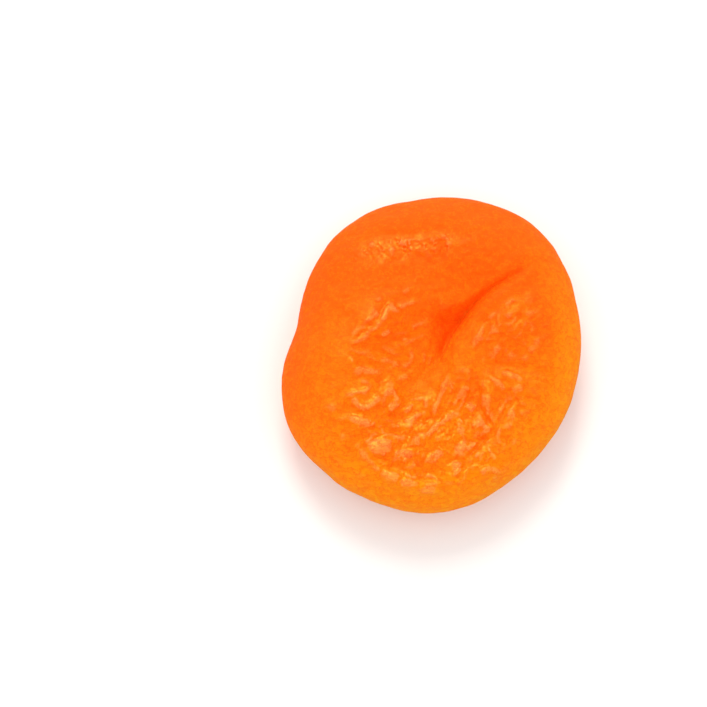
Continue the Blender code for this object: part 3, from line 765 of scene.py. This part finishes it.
class Nodes:
    """Adds shader nodes to a material and links them."""

    def __init__(self, material):
        material.use_nodes = True
        self.tree = material.node_tree
        self.shader = self.tree.nodes["Principled BSDF"]

    def add(self, kind, values=(), **settings):
        node = self.tree.nodes.new(kind)
        for name, value in settings.items():
            setattr(node, name, value)
        for socket, value in dict(values).items():
            if isinstance(value, bpy.types.NodeSocket):
                self.tree.links.new(value, node.inputs[socket])
            else:
                node.inputs[socket].default_value = value
        return node

    def mixed(self, share, first, second):
        """A colour between the two."""
        node = self.add("ShaderNodeMix", data_type="RGBA")
        for socket, value in ((SHARE_IN, share), (FIRST_IN, first), (SECOND_IN, second)):
            if isinstance(value, bpy.types.NodeSocket):
                self.tree.links.new(value, node.inputs[socket])
            else:
                node.inputs[socket].default_value = (*value, 1.0)
        return node.outputs[MIXED_OUT]

    def worked_out(self, operation, *values):
        """The result of a sum on one or two values."""
        node = self.add("ShaderNodeMath", enumerate(values), operation=operation)
        return node.outputs[0]

    def mapped(self, value, low, high, to_low, to_high):
        node = self.add(
            "ShaderNodeMapRange",
            {"Value": value, "From Min": low, "From Max": high, "To Min": to_low, "To Max": to_high},
            interpolation_type="SMOOTHSTEP",
        )
        return node.outputs["Result"]

    def noise(self, place, length, detail, roughness):
        """Soft noise whose patches are about this long."""
        node = self.add(
            "ShaderNodeTexNoise",
            {"Vector": place, "Scale": 1 / length, "Detail": detail, "Roughness": roughness},
        )
        return node.outputs["Fac"]

    def share_of(self, value, mix):
        """How much of a colour there is where the value has come this far."""
        start, full, share = mix
        return self.mapped(value, start, full, 0.0, share)

    def patches(self, place, pattern):
        """How much of a pattern of soft patches there is."""
        length, detail, roughness, *mix = pattern
        return self.share_of(self.noise(place, length, detail, roughness), mix)

    def lines(self, place, pattern):
        """How much of a pattern of thin lines there is: they lie where the noise has one level."""
        length, detail, roughness, level, width, share = pattern
        value = self.noise(place, length, detail, roughness)
        away = self.worked_out("ABSOLUTE", self.worked_out("SUBTRACT", value, level))
        return self.mapped(away, 0.0, width, share, 0.0)

    def relief(self, place, pattern, under=()):
        """The normal with this fine relief, on top of what is under it."""
        length, detail, roughness, strength, distance = pattern
        height = self.noise(place, length, detail, roughness)
        values = {"Height": height, "Strength": strength, "Distance": distance, **dict(under)}
        return self.add("ShaderNodeBump", values).outputs["Normal"]


def skin_colour(nodes, place, moist):
    tone = nodes.add("ShaderNodeAttribute", attribute_name="tone")
    parts = nodes.add("ShaderNodeSeparateColor", {"Color": tone.outputs["Color"]})
    rim, hollow, crests = (parts.outputs[i] for i in range(3))
    north = nodes.add("ShaderNodeSeparateXYZ", {"Vector": place}).outputs["Y"]
    north_west = nodes.add(
        "ShaderNodeVectorMath", {0: place, 1: NORTH_WEST}, operation="DOT_PRODUCT"
    ).outputs["Value"]
    stretched = nodes.add(
        "ShaderNodeVectorMath", {0: place, 1: HAIR_STRETCH}, operation="MULTIPLY"
    ).outputs[0]

    # Painted shade: the face darkens to the north and the rim to the north-west
    face_north = nodes.mapped(north, *FACE_NORTH, 0.0, 1.0)
    rim_north = nodes.mapped(north_west, *RIM_NORTH, 0.0, 1.0)
    face_lit_and_shaded = nodes.mixed(face_north, FACE_LIT_COLOUR, FACE_SHADED_COLOUR)
    # the rim's painted glow, turning to painted shade to the north-west
    rim_glow_and_shade = nodes.mixed(rim_north, RIM_GLOW_COLOUR, RIM_SHADED_COLOUR)
    # The crests' paler skin and painted highlight, on moist skin
    pale_and_highlight = nodes.worked_out("MULTIPLY", nodes.share_of(crests, PALE_AND_HIGHLIGHT_MIX), moist)
    colour = face_lit_and_shaded
    for share, layer in (
        # the rim's painted glow and shade laid over the face
        (nodes.share_of(rim, RIM_MIX), rim_glow_and_shade),
        (nodes.patches(place, PATCHES), rim_glow_and_shade),
        (nodes.patches(place, BLOTCHES), BLOTCH_COLOUR),
        (nodes.lines(place, CURLS), CURL_COLOUR),
        # the hollow's painted shade
        (nodes.share_of(hollow, HOLLOW_SHADE_MIX), FOLD_SHADE_COLOUR),
        (pale_and_highlight, CREST_PALE_AND_HIGHLIGHT_COLOUR),
        (nodes.lines(place, VEINS), VEIN_COLOUR),
        (nodes.patches(stretched, HAIRS), VEIN_COLOUR),
    ):
        colour = nodes.mixed(share, colour, layer)
    return colour


def skin_material():
    material = bpy.data.materials.new("apricot_skin")
    nodes = Nodes(material)
    place = nodes.add("ShaderNodeTexCoord").outputs["Object"]
    moist = nodes.add("ShaderNodeAttribute", attribute_name="moist").outputs["Fac"]
    colour = skin_colour(nodes, place, moist)
    nodes.tree.links.new(colour, nodes.shader.inputs["Base Color"])

    wet = nodes.worked_out("MULTIPLY", moist, nodes.noise(place, *WET_NOISE))
    roughness = nodes.mapped(wet, *WET_RANGE, DRY_ROUGHNESS, WET_ROUGHNESS)
    nodes.tree.links.new(roughness, nodes.shader.inputs["Roughness"])
    mottled = nodes.relief(place, MOTTLE)
    normal = nodes.relief(place, PORES, {"Normal": mottled})
    nodes.tree.links.new(normal, nodes.shader.inputs["Normal"])
    for socket, value in FLESH.items():
        nodes.shader.inputs[socket].default_value = value
    return material


def floor_material():
    material = bpy.data.materials.new("pale_floor")
    nodes = Nodes(material)
    nodes.shader.inputs["Base Color"].default_value = FLOOR_COLOUR
    nodes.shader.inputs["Roughness"].default_value = FLOOR_ROUGHNESS
    return material


def floor():
    mesh = bpy.data.meshes.new("floor")
    half = FLOOR_HALF
    corners = [(-half, -half, 0), (half, -half, 0), (half, half, 0), (-half, half, 0)]
    mesh.from_pydata(corners, [], [(0, 1, 2, 3)])
    mesh.materials.append(floor_material())
    piece = bpy.data.objects.new("floor", mesh)
    piece.visible_glossy = False
    bpy.context.scene.collection.objects.link(piece)


def sky():
    """Even soft light from all round, too broad to show in the skin's sheen."""
    world = bpy.data.worlds.new("studio")
    bpy.context.scene.world = world
    world.use_nodes = True
    background = world.node_tree.nodes["Background"]
    background.inputs["Color"].default_value = (*WHITE, 1.0)
    background.inputs["Strength"].default_value = SKY_STRENGTH
    world.cycles_visibility.glossy = False


def panel(name, place, side, power, sheen_only):
    """A square soft light facing the fruit. One for the sheen alone lights no matt surface."""
    light = bpy.data.lights.new(name, "AREA")
    light.color = WARM_LIGHT if sheen_only else WHITE
    light.shape = "SQUARE"
    light.size = side
    light.energy = power
    lamp = bpy.data.objects.new(name, light)
    lamp.location = place
    lamp.rotation_euler = (-Vector(place)).to_track_quat("-Z", "Y").to_euler()
    lamp.visible_diffuse = not sheen_only
    bpy.context.scene.collection.objects.link(lamp)


def camera():
    """Looks down at the fruit and a little from its near side, framed as in the photograph."""
    low, high = cad_box
    centre = (low + high) / 2
    back = Vector((0, -math.cos(VIEW_ELEVATION), math.sin(VIEW_ELEVATION)))
    up = Vector((0, math.sin(VIEW_ELEVATION), math.cos(VIEW_ELEVATION)))
    pixel = (high.x - low.x) / (FRUIT_RIGHT - FRUIT_LEFT)
    right_by = ((FRUIT_LEFT + FRUIT_RIGHT) / 2 - PHOTO_SIDE / 2) * pixel
    up_by = (PHOTO_SIDE / 2 - (FRUIT_TOP + FRUIT_BOTTOM) / 2) * pixel
    data = bpy.data.cameras.new("camera")
    data.lens, data.sensor_width = LENS, SENSOR
    data.clip_start, data.clip_end = NEAREST, FARTHEST
    distance = PHOTO_SIDE * pixel * LENS / SENSOR
    lens = bpy.data.objects.new("camera", data)
    lens.location = centre + back * distance - Vector((right_by, 0, 0)) - up * up_by
    lens.rotation_euler = (-back).to_track_quat("-Z", "Y").to_euler()
    bpy.context.scene.collection.objects.link(lens)
    bpy.context.scene.camera = lens


fruit = skin()
fruit.data.materials.append(skin_material())
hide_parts(NODE)
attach(fruit, "root")

floor()
sky()
for light_row in LIGHTS:
    panel(*light_row)
camera()
bpy.context.scene.view_settings.view_transform = "Standard"
